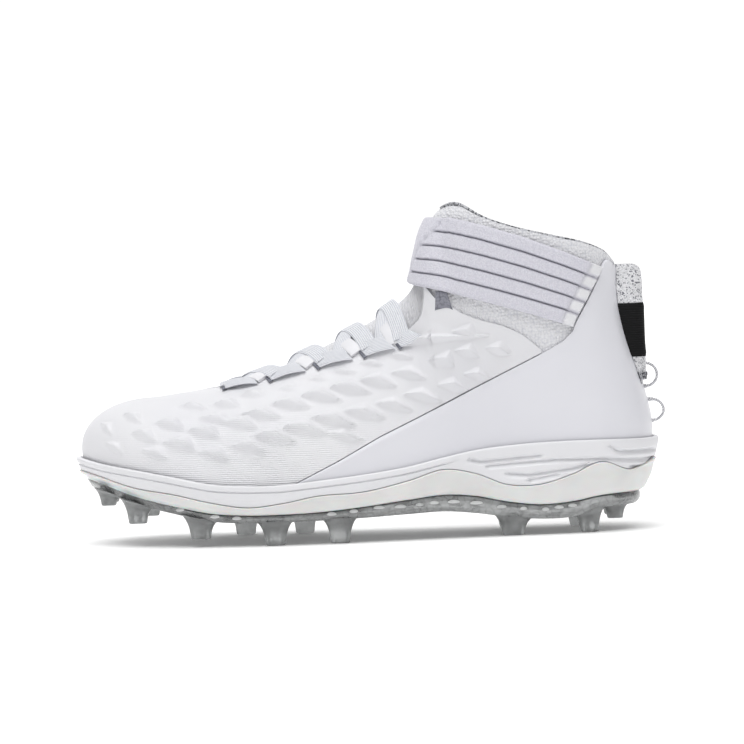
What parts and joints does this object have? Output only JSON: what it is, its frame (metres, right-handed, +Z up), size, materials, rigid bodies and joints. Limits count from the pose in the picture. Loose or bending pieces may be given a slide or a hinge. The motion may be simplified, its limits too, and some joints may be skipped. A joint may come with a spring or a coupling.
{
  "type": "football cleat",
  "caption": "High-cut white American football cleat with raised bumps on its upper, flat laces, a grooved ankle strap, a heel pull and a clear studded plate.",
  "frame": {"origin": "bottom centre of the bounding box, on the plane that the studs stand on", "axes": "+X towards the toe, +Y towards the outer side of the foot, +Z up out of the collar"},
  "size_m": [0.3078, 0.1014, 0.171],
  "materials": {
    "white_knit": "bumpy knit",
    "moulded_skin": "satin moulded skin",
    "white_foam": "satin foam",
    "frosted_plate": "frosted",
    "clear_plate": "clear, slightly smoky",
    "pale_elastic": "woven elastic",
    "white_lace": "flat ribbed lace",
    "white_cord": "thin cord"
  },
  "bodies": {
    "root": {"upper": "white_knit", "vamp_skin": "moulded_skin", "heel_wing": "moulded_skin", "tongue": "white_knit", "insole": "white_knit", "midsole": "white_foam", "sole_frame": "frosted_plate", "stud_plate": "clear_plate", "laces": "white_lace", "ankle_strap": "pale_elastic", "heel_pull": "white_knit", "heel_cord_upper": "white_cord", "heel_cord_lower": "white_cord"}
  },
  "joints": []
}
